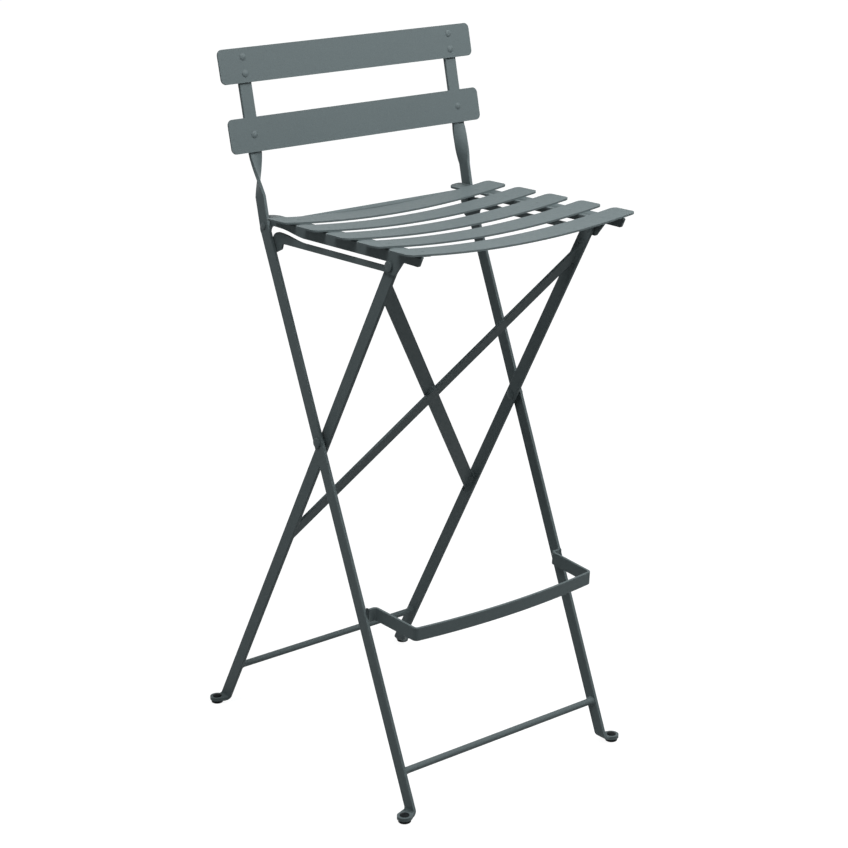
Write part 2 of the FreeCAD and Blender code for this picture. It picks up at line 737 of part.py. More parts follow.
def dish_strip(low, high, x_low, x_high, depth, thick):
    """Strip of the dished surface in the seat's own frame, depth below its top."""
    arcs = []
    for drop in (depth, depth + thick):
        radius = dish_radius + drop
        points = []
        for x in (x_low, (x_low + x_high) / 2, x_high):
            points.append(V(x, low, dish_radius - math.sqrt(radius ** 2 - x ** 2)))
        arcs.append(points)
    top, under = arcs
    edges = [
        arc(top[0], top[1], top[2]),
        Part.makeLine(top[2], under[2]),
        arc(under[2], under[1], under[0]),
        Part.makeLine(under[0], top[0]),
    ]
    return Part.Face(Part.Wire(edges)).extrude(V(0, high - low, 0))


def rounded_column(x_low, x_high, low, high, radius):
    """Upright block with round corners, used to trim a piece's plan."""
    block = Part.makeBox(x_high - x_low, high - low, 100, V(x_low, low, -50))
    uprights = [e for e in block.Edges if e.BoundBox.ZLength > 90]
    return block.makeFillet(radius, uprights)


def slat_offset(index):
    """Distance of a slat's centre from the rear slat, in the seat's frame."""
    return -index * SLAT_PITCH / math.cos(seat_tilt)


def seat_slat(index):
    """Seat slat, dished along its length, with rounded corners."""
    low = slat_offset(index) - SLAT_WIDTH / 2
    high = low + SLAT_WIDTH
    span = SLAT_HALF_LENGTH
    strip = dish_strip(low - 1, high + 1, -span - 1, span + 1, 0, SLAT_THICK)
    slat = strip.common(rounded_column(-span, span, low, high, SLAT_CORNER_R))
    shanks = [slat_rivet_shank(index, side) for side in (-1, 1)]
    return on_seat(slat.cut(Part.makeCompound(shanks)))


def slat_rivet_top(index, side):
    return V(side * SEAT_RIVET_X, slat_offset(index), dish(SEAT_RIVET_X))


def slat_rivet_axis(side):
    """Outward direction of the dished surface at a slat rivet."""
    return V(-side * SEAT_RIVET_X, 0, dish_radius - dish(SEAT_RIVET_X)).normalize()


def slat_rivet_shank(index, side):
    top = slat_rivet_top(index, side)
    axis = slat_rivet_axis(side)
    grip = SLAT_THICK + PLATE_THICK
    return cylinder(SLAT_RIVET_SHANK_R, top, top - axis * grip)


def slat_rivets():
    """Flush rivets that hold each slat to the side plates' tabs."""
    pieces = []
    for index in range(SLAT_COUNT):
        for side in (-1, 1):
            piece = rivet(
                slat_rivet_top(index, side), slat_rivet_axis(side), SLAT_RIVET_SHANK_R,
                SLAT_THICK + PLATE_THICK, SLAT_RIVET_HEAD_R, SLAT_RIVET_HEAD_HEIGHT,
            )
            pieces.append(on_seat(piece))
    return pieces


def flange_ends():
    """Front and rear ends of the plate's top flange, in the seat's frame."""
    low = (PLATE_FRONT_Y + FLANGE_SET_BACK - REAR_SLAT_Y) / math.cos(seat_tilt)
    high = (EAR_END_Y - REAR_SLAT_Y) / math.cos(seat_tilt)
    return low, high


def plate_flange():
    """Flange folded in under all slats; behind the rear one it ends in an ear."""
    low, high = flange_ends()
    strip = dish_strip(low, high, FLANGE_INNER_X, plate_outer_x, SLAT_THICK, PLATE_THICK)
    start = low - 3 * EAR_TIP_R
    trim = rounded_column(FLANGE_INNER_X, plate_outer_x, start, high, EAR_TIP_R)
    return on_seat(strip.common(trim))


def bend_cutter():
    """What is cut off along the plate's outer top edge to leave its round bend."""
    low, high = flange_ends()
    start = low - EAR_TIP_R
    inner_x = plate_outer_x - PLATE_BEND_R
    top = dish_radius - math.sqrt((dish_radius + SLAT_THICK) ** 2 - inner_x ** 2)
    diag = math.sqrt(0.5)
    arc_start = V(inner_x, start, top)
    middle_z = top - PLATE_BEND_R * (1 - diag)
    middle = V(inner_x + PLATE_BEND_R * diag, start, middle_z)
    arc_end = V(plate_outer_x, start, top - PLATE_BEND_R)
    edges = [
        arc(arc_start, middle, arc_end),
        Part.makeLine(arc_end, V(plate_outer_x + 1, start, top - PLATE_BEND_R)),
        Part.makeLine(V(plate_outer_x + 1, start, top - PLATE_BEND_R), V(plate_outer_x + 1, start, top + 2)),
        Part.makeLine(V(plate_outer_x + 1, start, top + 2), V(inner_x, start, top + 2)),
        Part.makeLine(V(inner_x, start, top + 2), arc_start),
    ]
    length = high - low + 2 * EAR_TIP_R
    return on_seat(Part.Face(Part.Wire(edges)).extrude(V(0, length, 0)))


def side_plate():
    """Right side plate: web with slot and pivot bore, and its folded flange."""
    web = plate_outline(plate_inner_x).extrude(V(PLATE_THICK, 0, 0))
    front = (PLATE_FRONT_Y - REAR_SLAT_Y) * 1.2
    over = on_seat(dish_strip(front, -front, 0, SLAT_HALF_LENGTH, -50, 50 + SLAT_THICK))
    plate = web.cut(over).fuse(plate_flange())
    slot = slot_face(plate_inner_x - 1).extrude(V(PLATE_THICK + 2, 0, 0))
    pivot = point(0, SEAT_PIVOT_Y, SEAT_PIVOT_RISE)
    hole = bore(SEAT_RIVET_SHANK_R + RADIAL_PLAY, pivot, plate_inner_x - 1, plate_outer_x + 1)
    shanks = [on_seat(slat_rivet_shank(index, 1)) for index in range(SLAT_COUNT)]
    return plate.cut(Part.makeCompound([slot, hole, bend_cutter()] + shanks))


def tie_rod():
    """Round rod welded under the rear ears, between the two side plates."""
    under = seat_top(FLANGE_INNER_X, TIE_ROD_Y) - SLAT_THICK - PLATE_THICK
    rise = under - ROD_DIA / 2
    start = point(-TIE_ROD_HALF_LENGTH, TIE_ROD_Y, rise)
    end = point(TIE_ROD_HALF_LENGTH, TIE_ROD_Y, rise)
    return cylinder(ROD_DIA / 2, start, end)


def slot_pin():
    """Outer half of a slot pin: flat head, neck in the slot, inner collar."""
    y = PIN_START_Y
    rise = PIN_START_RISE
    head_at = point(plate_outer_x + AXIAL_PLAY / 2, y, rise)
    head = dome_cap(head_at, V(1, 0, 0), PIN_HEAD_R, PIN_HEAD_HEIGHT)
    collar_low = point(cross_outer_x + AXIAL_PLAY, y, rise)
    collar_high = point(plate_inner_x - AXIAL_PLAY / 2, y, rise)
    collar = cylinder(PIN_HEAD_R, collar_low, collar_high)
    neck = cylinder(PIN_NECK_R, collar_low, head_at)
    return fuse_all([head, collar, neck])


def pin_tail():
    """Inner half of a slot pin, riveted in the top of a crossing leg."""
    head_at = point(cross_inner_x, PIN_START_Y, PIN_START_RISE)
    end = point(cross_outer_x, PIN_START_Y, PIN_START_RISE)
    head = dome_cap(head_at, V(-1, 0, 0), PIN_TAIL_R, RIVET_HEAD_HEIGHT)
    return fuse_all([head, cylinder(PIN_SHANK_R, head_at, end)])


def backrest_rivets():
    grip = SLAT_THICK + BAR_THICK
    right = []
    for place in back_rivet_places():
        right.append(rivet(
            place, rest_normal(), BACK_RIVET_SHANK_R, grip,
            BACK_RIVET_HEAD_R, BACK_RIVET_HEAD_HEIGHT,
        ))
    return right + [mirror_x(piece) for piece in right]


def both_sides(piece):
    return [piece, mirror_x(piece)]


def export(name, shapes):
    if not isinstance(shapes, list):
        shapes = [shapes]
    solids = []
    for shape in shapes:
        solids += shape.Solids
    body = solids[0] if len(solids) == 1 else Part.makeCompound(solids)
    body.translate(V(0, -depth_middle(), 0))
    body.exportStep("parts/" + name + ".step")


def build():
    os.makedirs("parts", exist_ok=True)

    right_post = post()
    export("post_right", right_post)
    export("post_left", mirror_x(right_post))
    export("backrest_slat_upper", backrest_slat(UPPER_SLAT_RISE))
    export("backrest_slat_lower", backrest_slat(lower_slat_rise))
    export("backrest_rivets", backrest_rivets())
    export("front_rod", front_rod())
    export("footrest", footrest())
    export("main_pivot_rivets", both_sides(main_rivet()))
    export("main_pivot_spacers", both_sides(main_spacer()))
    export("seat_pivot_rivets", both_sides(seat_rivet()))
    export("seat_pivot_washers", both_sides(seat_washer()))
    front_plug = foot_plug(foot_hole(BACK_LEAN_RATIO, 1, back_mid_x, FRONT_FOOT_REACH))
    export("front_foot_plug_right", front_plug)
    export("front_foot_plug_left", mirror_x(front_plug))

    right_leg = crossing_leg()
    export("crossing_leg_right", right_leg)
    export("crossing_leg_left", mirror_x(right_leg))
    export("rear_rod", rear_rod())
    export("brace_strap_front", brace(1, -BRACE_THICK / 2))
    export("brace_strap_rear", brace(-1, BRACE_THICK / 2))
    export("slot_pin_tails", both_sides(pin_tail()))
    rear_plug = foot_plug(foot_hole(cross_lean_ratio, -1, cross_mid_x, REAR_FOOT_REACH))
    export("rear_foot_plug_right", rear_plug)
    export("rear_foot_plug_left", mirror_x(rear_plug))

    plate = side_plate()
    export("seat_side_plate_right", plate)
    export("seat_side_plate_left", mirror_x(plate))
    for index in range(SLAT_COUNT):
        export("seat_slat_" + str(index + 1), seat_slat(index))
    export("seat_slat_rivets", slat_rivets())
    export("seat_tie_rod", tie_rod())

    right_pin = slot_pin()
    export("slot_pin_right", right_pin)
    export("slot_pin_left", mirror_x(right_pin))


build()
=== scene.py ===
import math

import bmesh
import bpy
from mathutils import Matrix, Vector


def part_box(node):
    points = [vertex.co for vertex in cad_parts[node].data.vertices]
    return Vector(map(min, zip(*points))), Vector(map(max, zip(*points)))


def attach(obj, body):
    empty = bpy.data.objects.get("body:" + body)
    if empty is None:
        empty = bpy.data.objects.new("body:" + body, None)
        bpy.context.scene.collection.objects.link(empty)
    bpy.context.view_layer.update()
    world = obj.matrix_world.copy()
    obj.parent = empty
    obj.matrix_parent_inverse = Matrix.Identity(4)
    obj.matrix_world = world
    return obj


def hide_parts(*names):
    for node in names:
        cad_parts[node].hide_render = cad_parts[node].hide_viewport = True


# The folding bar stool around its solids: finish, thick heads, weld beads, trimmed side plates,
# floor, light and camera.

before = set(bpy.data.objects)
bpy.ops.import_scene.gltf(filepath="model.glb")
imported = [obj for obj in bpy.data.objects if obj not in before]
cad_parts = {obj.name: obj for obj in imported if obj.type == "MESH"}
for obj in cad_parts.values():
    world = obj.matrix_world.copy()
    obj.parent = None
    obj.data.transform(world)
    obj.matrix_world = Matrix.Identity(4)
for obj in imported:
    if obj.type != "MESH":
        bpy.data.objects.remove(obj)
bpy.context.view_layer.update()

MM = 0.001
WHITE = (1.0, 1.0, 1.0, 1.0)

# Camera, solved from the photograph's perspective
PHOTO_SIZE = 848
FOCAL_PIXELS = 2143.0
CENTRE_PIXEL_X = 457.99
CENTRE_PIXEL_Y = 510.79
CAMERA_PLACE = (-1.8604, -2.3249, 1.4668)
CAMERA_AZIMUTH = -40.121
CAMERA_ELEVATION = 20.600
CAMERA_ROLL = 0.360
SENSOR_WIDTH = 36.0
CAMERA_REACH = 100.0

# Powder coat: colours are linear, shades multiply a colour
NOISE_SPAN = (0.3, 0.7)
PAINT_COLOUR = (0.130, 0.160, 0.165, 1.0)
PAINT_ROUGHNESS = 0.55
PAINT_SPECULAR = 0.14
ROUGHNESS_DOWN = 0.04
ROUGHNESS_UP = 0.05
RIVET_SHADE = 0.97
RIVET_ROUGHNESS = 0.5
POWDER_GRAIN = 900.0
GRAIN_SHADES = (0.90, 1.08)
POWDER_BUMP = 0.12
POWDER_BUMP_DEPTH = 0.00012
COAT_WAVE = 160.0
COAT_DRIFT = 7.0
DRIFT_SHADES = (0.96, 1.04)

# Moulded foot plugs
PLUG_COLOUR = (0.010, 0.0125, 0.0135, 1.0)
PLUG_GRAIN = 2400.0
PLUG_SHADES = (0.8, 1.3)
PLUG_ROUGHNESS = (0.50, 0.62)
PLUG_SPECULAR = 0.08
PLUG_BUMP = 0.2
PLUG_BUMP_DEPTH = 0.0001

# Stage
FLOOR_SIZE = 60.0
FLOOR_DROP = 0.0005
FLOOR_COLOUR = (0.24, 0.24, 0.24, 1.0)
FLOOR_ROUGHNESS = 0.9
FLOOR_GLOW_NEAR = 0.93
FLOOR_NEAR = 0.8
FLOOR_FAR = 2.2
WORLD_LIGHT = 0.12
WORLD_COLOUR = (0.80, 0.96, 1.0, 1.0)

# Lamps: name, place, aim, width, power
LAMPS = (
    ("overhead", (0.5, -0.95, 2.3), (0.0, 0.0, 0.7), 1.2, 35.5),
    ("left_soft", (-1.4, -0.4, 2.5), (0.0, 0.0, 0.6), 1.0, 17.0),
    ("right_soft", (2.2, -1.4, 2.4), (0.0, 0.0, 0.6), 1.6, 2.0),
)

# Stock of the solids
BAR_THICK = 5.0 * MM
BRACE_WIDTH = 20.0 * MM
PIN_HEAD_HEIGHT = 1.2 * MM

# Turned parts: points of a profile in millimetres, as (distance along X, radius)
LATHE_STEPS = 48
SPACER_PROFILE = [(0.0, 4.1), (0.0, 5.0), (0.4, 5.4), (5.5, 5.4), (5.9, 5.0), (5.9, 4.1)]
ROD_FLARE = [
    (0.0, 4.6), (0.0, 8.3), (0.5, 8.1), (1.4, 7.3), (2.8, 6.5),
    (4.6, 5.8), (6.8, 5.3), (9.0, 5.02), (9.0, 4.6),
]
PIN_HEAD = [(0.0, 0.0), (0.0, 7.2), (2.1, 7.2), (2.6, 6.9), (2.9, 6.2), (3.2, 3.4), (3.3, 0.0)]
PIVOT_HEAD = [(0.0, 0.0), (0.0, 4.7), (1.2, 4.7), (1.7, 4.2), (2.1, 3.0), (2.3, 1.5), (2.35, 0.0)]
TIE_ROD_LIFT = 1.9 * MM
TIE_ROD_BEVEL = 0.8

# Box that cuts the front of the side plates' flange away
FLANGE_CUT_DEPTH = 12.0 * MM
FLANGE_CUT_HEIGHT = 16.0 * MM
FLANGE_CUT_INNER_X = 150.0 * MM
FLANGE_CUT_OUTER_X = 176.6 * MM
FLANGE_CUT_MARGIN = 2.0 * MM
BOX_FACES = [
    (0, 1, 3, 2), (4, 6, 7, 5), (0, 4, 5, 1), (2, 3, 7, 6), (0, 2, 6, 4), (1, 5, 7, 3),
]

# Fillet welds: points of the bead's section as (share of reach, share of spread)
WELD_SECTION = [(0.0, 1.0), (0.22, 0.78), (0.5, 0.46), (0.8, 0.18), (1.0, 0.02)]
WELD_SUNK = 0.6 * MM
WELD_STEP = 0.9 * MM
WELD_RIPPLE = 0.10
RIPPLE_FAST = 1.9
RIPPLE_SLOW = 0.37
RIPPLE_START = 1.0
END_FACE_SLACK = 0.03 * MM
FOOTREST_WELD = (3.0 * MM, 1.9 * MM)
BRACE_WELD = (5.0 * MM, 4.2 * MM)

# Weld where the two brace straps cross: its travel along the front strap and its section in
# millimetres, as (up the rear strap's face, out towards the front)
CROSS_LEAN = 28.962
BRACE_SLOPE = 1.38
CROSSING_BEAD_FROM = -1.5 * MM
CROSSING_BEAD_TO = 12.0 * MM
CROSSING_BEAD_STEPS = 24
CROSSING_BEAD_END = 0.02
CROSSING_SECTION = [
    (5.6, -0.4), (5.2, 0.05), (4.2, 0.25), (2.9, 0.75), (1.8, 1.6),
    (0.9, 2.8), (0.3, 4.0), (-0.3, 4.85), (-0.8, 4.6), (-0.8, -0.4),
]

SMOOTH_BELOW = 40.0


# ---- materials

def new_material(name):
    material = bpy.data.materials.new(name)
    material.use_nodes = True
    nodes = material.node_tree.nodes
    nodes.clear()
    output = nodes.new("ShaderNodeOutputMaterial")
    shader = nodes.new("ShaderNodeBsdfPrincipled")
    material.node_tree.links.new(shader.outputs["BSDF"], output.inputs["Surface"])
    return material, nodes, material.node_tree.links, shader


def object_coordinates(nodes):
    return nodes.new("ShaderNodeTexCoord").outputs["Object"]


def noise(nodes, links, where, scale, detail, roughness):
    texture = nodes.new("ShaderNodeTexNoise")
    texture.inputs["Scale"].default_value = scale
    texture.inputs["Detail"].default_value = detail
    texture.inputs["Roughness"].default_value = roughness
    links.new(where, texture.inputs["Vector"])
    return texture.outputs["Fac"]


def remap(nodes, links, value, low, high):
    """Spread the span that a noise texture mostly fills over low to high."""
    spread = nodes.new("ShaderNodeMapRange")
    spread.inputs["From Min"].default_value = NOISE_SPAN[0]
    spread.inputs["From Max"].default_value = NOISE_SPAN[1]
    spread.inputs["To Min"].default_value = low
    spread.inputs["To Max"].default_value = high
    links.new(value, spread.inputs["Value"])
    return spread.outputs["Result"]


def tint(nodes, links, factor, dark, light):
    mix = nodes.new("ShaderNodeMix")
    mix.data_type = "RGBA"
    mix.inputs["A"].default_value = dark
    mix.inputs["B"].default_value = light
    links.new(factor, mix.inputs["Factor"])
    return mix.outputs["Result"]


def multiply(nodes, links, colour, other):
    mix = nodes.new("ShaderNodeMix")
    mix.data_type = "RGBA"
    mix.blend_type = "MULTIPLY"
    mix.inputs["Factor"].default_value = 1.0
    links.new(colour, mix.inputs["A"])
    links.new(other, mix.inputs["B"])
    return mix.outputs["Result"]


def roughen(nodes, links, shader, height, strength, depth):
    bump = nodes.new("ShaderNodeBump")
    bump.inputs["Strength"].default_value = strength
    bump.inputs["Distance"].default_value = depth
    links.new(height, bump.inputs["Height"])
    links.new(bump.outputs["Normal"], shader.inputs["Normal"])


def shade(colour, factor):
    return tuple(channel * factor for channel in colour[:3]) + (1.0,)


def two_shades(colour, factors):
    return [shade(colour, factor) for factor in factors]


def powder_coat(name, colour, roughness):
    """Matte powder coat: fine orange-peel grain over a slow drift in tone."""
    material, nodes, links, shader = new_material(name)
    where = object_coordinates(nodes)
    grain = noise(nodes, links, where, POWDER_GRAIN, 2.0, 0.5)
    wave = noise(nodes, links, where, COAT_WAVE, 2.0, 0.5)
    drift = noise(nodes, links, where, COAT_DRIFT, 2.0, 0.5)
    slow = tint(nodes, links, drift, *two_shades(colour, DRIFT_SHADES))
    speckle = remap(nodes, links, grain, 0.0, 1.0)
    fine = tint(nodes, links, speckle, *two_shades(WHITE, GRAIN_SHADES))
    links.new(multiply(nodes, links, slow, fine), shader.inputs["Base Color"])
    rough = remap(nodes, links, wave, roughness - ROUGHNESS_DOWN, roughness + ROUGHNESS_UP)
    links.new(rough, shader.inputs["Roughness"])
    shader.inputs["Specular IOR Level"].default_value = PAINT_SPECULAR
    roughen(nodes, links, shader, grain, POWDER_BUMP, POWDER_BUMP_DEPTH)
    return material


def moulded_plastic(name, colour):
    """Black moulded plug with a fine spark-eroded texture."""
    material, nodes, links, shader = new_material(name)
    where = object_coordinates(nodes)
    grain = noise(nodes, links, where, PLUG_GRAIN, 3.0, 0.6)
    tone = tint(nodes, links, grain, *two_shades(colour, PLUG_SHADES))
    links.new(tone, shader.inputs["Base Color"])
    links.new(remap(nodes, links, grain, *PLUG_ROUGHNESS), shader.inputs["Roughness"])
    shader.inputs["Specular IOR Level"].default_value = PLUG_SPECULAR
    roughen(nodes, links, shader, grain, PLUG_BUMP, PLUG_BUMP_DEPTH)
    return material


def dress_nodes(paint, fastener_paint, plastic):
    """Give every carried-over node its finish."""
    for name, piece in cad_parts.items():
        finish = paint
        if "plug" in name:
            finish = plastic
        elif "rivet" in name or "pin" in name:
            finish = fastener_paint
        piece.data.materials.clear()
        piece.data.materials.append(finish)


# ---- meshes

def link_object(name, data):
    thing = bpy.data.objects.new(name, data)
    bpy.context.scene.collection.objects.link(thing)
    return thing


def closed_mesh(name, verts, faces):
    """Mesh with every face turned outwards."""
    mesh = bpy.data.meshes.new(name)
    mesh.from_pydata([tuple(v) for v in verts], [], faces)
    tidy = bmesh.new()
    tidy.from_mesh(mesh)
    bmesh.ops.recalc_face_normals(tidy, faces=tidy.faces)
    tidy.to_mesh(mesh)
    tidy.free()
    return mesh


def add_piece(name, verts, faces, body, finish):
    """Mesh piece that rides on a body, smooth between its sharp edges."""
    mesh = closed_mesh(name, verts, faces)
    mesh.shade_smooth()
    mesh.set_sharp_from_angle(angle=math.radians(SMOOTH_BELOW))
    mesh.materials.append(finish)
    piece = link_object(name, mesh)
    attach(piece, body)
    return piece


def skin(rings, closed=False):
    """Faces between neighbouring rings of vertex numbers; a ring of one is a tip."""
    pairs = list(zip(rings, rings[1:]))
    if closed:
        pairs.append((rings[-1], rings[0]))
    faces = []
    for first, second in pairs:
        for step in range(max(len(first), len(second))):
            quad = (
                first[step % len(first)], first[(step + 1) % len(first)],
                second[(step + 1) % len(second)], second[step % len(second)],
            )
            faces.append(tuple(dict.fromkeys(quad)))
    return faces


def even_rings(count, size):
    """Vertex numbers of equal rings that follow each other."""
    return [list(range(start * size, (start + 1) * size)) for start in range(count)]


def revolve(profile, place, side, closed=False):
    """Turn a profile in millimetres about a line along X; side is +1 or -1."""
    verts = []
    rings = []
    for along, radius in profile:
        x = place[0] + side * along * MM
        count = LATHE_STEPS if radius > 0.0 else 1
        rings.append(list(range(len(verts), len(verts) + count)))
        for step in range(count):
            angle = 2.0 * math.pi * step / count
            out = radius * MM
            verts.append((x, place[1] + out * math.cos(angle), place[2] + out * math.sin(angle)))
    return verts, skin(rings, closed)


def join_meshes(parts):
    """Put several (verts, faces) pairs into one."""
    verts = []
    faces = []
    for more_verts, more_faces in parts:
        start = len(verts)
        verts += more_verts
        faces += [tuple(start + index for index in face) for face in more_faces]
    return verts, faces


def middle_of(node):
    low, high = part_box(node)
    return [(a + b) / 2 for a, b in zip(low, high)]


# ---- turned parts

def turned_at_both_ends(node, profile):
    """The same closed profile at both ends of a node, turned inwards."""
    low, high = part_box(node)
    y, z = middle_of(node)[1:]
    return join_meshes([
        revolve(profile, (high[0], y, z), -1, True),
        revolve(profile, (low[0], y, z), 1, True),
    ])


def add_spacers(finish):
    """Slim spacers of the main pivots, hidden behind the bars."""
    verts, faces = turned_at_both_ends("main_pivot_spacers", SPACER_PROFILE)
    piece = add_piece("pivot_spacers", verts, faces, "back_frame", finish)
    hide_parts("main_pivot_spacers")


def add_tie_rod(finish):
    """Rod welded between the rear ears, as high as the photograph shows it."""
    low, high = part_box("seat_tie_rod")
    y, z = middle_of("seat_tie_rod")[1:]
    radius = (high[2] - low[2]) / 2 / MM
    length = (high[0] - low[0]) / MM
    bevel = TIE_ROD_BEVEL
    profile = [
        (0.0, 0.0), (0.0, radius - bevel), (bevel, radius),
        (length - bevel, radius), (length, radius - bevel), (length, 0.0),
    ]
    verts, faces = revolve(profile, (low[0], y, z + TIE_ROD_LIFT), 1)
    piece = add_piece("tie_rod", verts, faces, "seat", finish)
    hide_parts("seat_tie_rod")


def add_heads(finish):
    """Thick heads of the main pivots, of the seat pivots and of the slot pins."""
    post_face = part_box("seat_pivot_washers")[1][0] + BAR_THICK
    pivots = (
        ("main_pivot_head_", "main_pivot_rivets", PIN_HEAD),
        ("seat_pivot_head_", "seat_pivot_rivets", PIVOT_HEAD),
    )
    for side, name in ((1, "right"), (-1, "left")):
        for label, node, profile in pivots:
            y, z = middle_of(node)[1:]
            verts, faces = revolve(profile, (side * post_face, y, z), side)
            add_piece(label + name, verts, faces, "back_frame", finish)
        low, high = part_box("slot_pin_" + name)
        y, z = middle_of("slot_pin_" + name)[1:]
        plate_face = max(abs(low[0]), abs(high[0])) - PIN_HEAD_HEIGHT
        verts, faces = revolve(PIN_HEAD, (side * plate_face, y, z), side)
        add_piece("slot_pin_head_" + name, verts, faces, "slot_pins", finish)


# ---- welds

def add_rod_flares(finish):
    """Weld fillets around both ends of the two cross rods."""
    for node, body in (("front_rod", "back_frame"), ("rear_rod", "cross_frame")):
        verts, faces = turned_at_both_ends(node, ROD_FLARE)
        add_piece(node + "_welds", verts, faces, body, finish)


def end_outline(node, x):
    """Outline of a node's end face in the plane at x, as (y, z) points in order."""
    places = set()
    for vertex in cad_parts[node].data.vertices:
        if abs(vertex.co.x - x) < END_FACE_SLACK:
            places.add((round(vertex.co.y, 5), round(vertex.co.z, 5)))
    centre_y = sum(p[0] for p in places) / len(places)
    centre_z = sum(p[1] for p in places) / len(places)
    return sorted(places, key=lambda p: math.atan2(p[1] - centre_z, p[0] - centre_y))


def even_steps(outline):
    """Points at even steps along a closed outline, each with its outward normal."""
    samples = []
    for (y0, z0), (y1, z1) in zip(outline, outline[1:] + outline[:1]):
        run = math.hypot(y1 - y0, z1 - z0)
        count = max(1, round(run / WELD_STEP))
        for step in range(count):
            share = step / count
            samples.append((y0 + (y1 - y0) * share, z0 + (z1 - z0) * share))
    result = []
    for index, (y, z) in enumerate(samples):
        y0, z0 = samples[index - 1]
        y1, z1 = samples[(index + 1) % len(samples)]
        along = Vector((y1 - y0, z1 - z0)).normalized()
        result.append((y, z, along.y, -along.x))
    return result


def weld_around(node, x, side, size):
    """Rippled fillet bead around a node's end face, spread over the bar it meets."""
    reach, spread = size
    verts = []
    samples = even_steps(end_outline(node, x))
    for index, (y, z, normal_y, normal_z) in enumerate(samples):
        ripple = math.sin(index * RIPPLE_FAST) * math.sin(index * RIPPLE_SLOW + RIPPLE_START)
        swell = 1.0 + WELD_RIPPLE * ripple
        section = [(reach * a * swell, spread * b * swell) for a, b in WELD_SECTION]
        section += [(reach, -WELD_SUNK), (0.0, -WELD_SUNK)]
        for along, out in section:
            verts.append((x + side * along, y + normal_y * out, z + normal_z * out))
    return verts, skin(even_rings(len(samples), len(verts) // len(samples)), True)


def add_end_welds(finish):
    """Welds of the footrest on the posts and of the braces on the crossing legs."""
    jobs = (
        ("footrest", "back_frame", FOOTREST_WELD),
        ("brace_strap_front", "cross_frame", BRACE_WELD),
        ("brace_strap_rear", "cross_frame", BRACE_WELD),
    )
    for node, body, size in jobs:
        low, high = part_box(node)
        verts, faces = join_meshes([
            weld_around(node, high[0], -1, size),
            weld_around(node, low[0], 1, size),
        ])
        add_piece(node + "_welds", verts, faces, body, finish)


def add_crossing_bead(finish):
    """Fillet along the front strap's upper edge, where it crosses the rear strap."""
    lean = math.radians(CROSS_LEAN)
    up = Vector((0.0, -math.sin(lean), math.cos(lean)))
    out = Vector((0.0, -math.cos(lean), -math.sin(lean)))
    front = Vector(middle_of("brace_strap_front"))
    rear = Vector(middle_of("brace_strap_rear"))
    along = (Vector((1.0, 0.0, 0.0)) + up * BRACE_SLOPE).normalized()
    wide = out.cross(along).normalized()
    if wide.z < 0.0:
        wide = -wide
    corner = (front + rear) / 2 + wide * BRACE_WIDTH / 2
    verts = []
    for step in range(CROSSING_BEAD_STEPS + 1):
        share = step / CROSSING_BEAD_STEPS
        travel = CROSSING_BEAD_FROM + (CROSSING_BEAD_TO - CROSSING_BEAD_FROM) * share
        taper = math.sqrt(max(CROSSING_BEAD_END, 1.0 - abs(2.0 * share - 1.0) ** 4))
        for rise, reach in CROSSING_SECTION:
            shift = wide * rise * taper * MM + out * reach * taper * MM
            verts.append(corner + along * travel + shift)
    rings = even_rings(CROSSING_BEAD_STEPS + 1, len(CROSSING_SECTION))
    faces = [tuple(rings[0]), tuple(rings[-1])] + skin(rings)
    add_piece("brace_crossing_weld", verts, faces, "cross_frame", finish)


# ---- side plates

def flange_cutter(side):
    """Box around the front of a side plate's flange, inside the plate's web."""
    low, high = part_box("seat_slat_5")
    corners = []
    for x in (FLANGE_CUT_INNER_X, FLANGE_CUT_OUTER_X):
        for y in (low[1] - FLANGE_CUT_MARGIN, low[1] + FLANGE_CUT_DEPTH):
            for z in (high[2] - FLANGE_CUT_HEIGHT, high[2] + FLANGE_CUT_MARGIN):
                corners.append((side * x, y, z))
    return link_object("flange_cutter", closed_mesh("flange_cutter", corners, BOX_FACES))


def cut_away(piece, cutter):
    """Take the cutter off the piece and remove the cutter."""
    trim = piece.modifiers.new("trim", "BOOLEAN")
    trim.operation = "DIFFERENCE"
    trim.solver = "EXACT"
    trim.object = cutter
    bpy.context.view_layer.update()
    seen = piece.evaluated_get(bpy.context.evaluated_depsgraph_get())
    trimmed = bpy.data.meshes.new_from_object(seen)
    piece.modifiers.clear()
    piece.data = trimmed
    bpy.data.objects.remove(cutter)


def add_side_plates(finish):
    """Seat side plates with the folded flange cut back at the front."""
    for side, name in ((1, "right"), (-1, "left")):
        node = "seat_side_plate_" + name
        plate = link_object("side_plate_" + name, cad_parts[node].data.copy())
        cut_away(plate, flange_cutter(side))
        plate.data.materials.clear()
        plate.data.materials.append(finish)
        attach(plate, "seat")
        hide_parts(node)


# ---- stage

def seen_directly(nodes, links):
    """1 for what the camera sees straight, mirrored or through glass."""
    path = nodes.new("ShaderNodeLightPath")
    glossy = nodes.new("ShaderNodeMath")
    glossy.operation = "MAXIMUM"
    links.new(path.outputs["Is Camera Ray"], glossy.inputs[0])
    links.new(path.outputs["Is Glossy Ray"], glossy.inputs[1])
    through = nodes.new("ShaderNodeMath")
    through.operation = "MAXIMUM"
    links.new(glossy.outputs[0], through.inputs[0])
    links.new(path.outputs["Is Transmission Ray"], through.inputs[1])
    return through.outputs[0]


